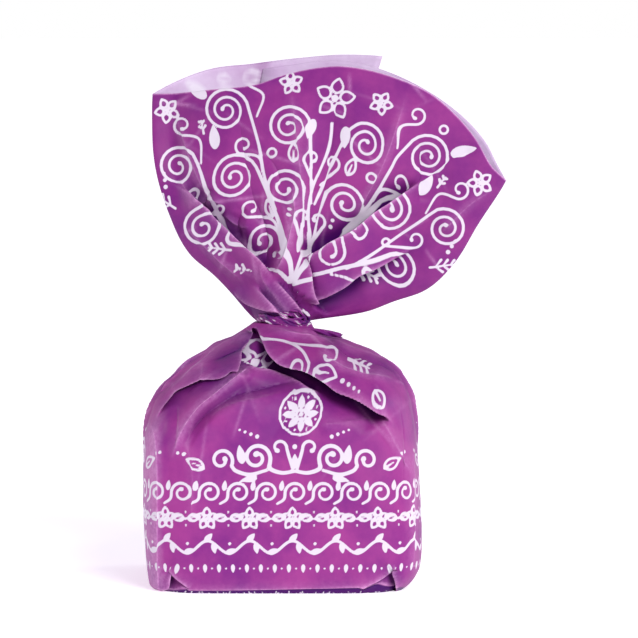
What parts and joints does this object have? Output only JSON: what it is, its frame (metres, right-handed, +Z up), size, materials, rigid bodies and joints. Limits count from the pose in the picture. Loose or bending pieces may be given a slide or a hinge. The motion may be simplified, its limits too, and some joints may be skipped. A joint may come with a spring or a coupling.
{
  "type": "wrapped chocolate truffle",
  "caption": "Chocolate truffle in a twisted printed paper wrapper, a soft block body with a fanned, open tuft above a narrow neck.",
  "frame": {"origin": "middle of the flat base that the truffle stands on", "axes": "+Z up from the base to the tuft, the printed front faces -Y, the tuft leans towards +X"},
  "size_m": [0.0441, 0.0336, 0.0638],
  "materials": {
    "printed_paper": "satin purple printed waxed paper with white scrollwork, pale lilac reverse"
  },
  "bodies": {
    "root": {"wrapped_truffle": "printed_paper"}
  },
  "joints": []
}
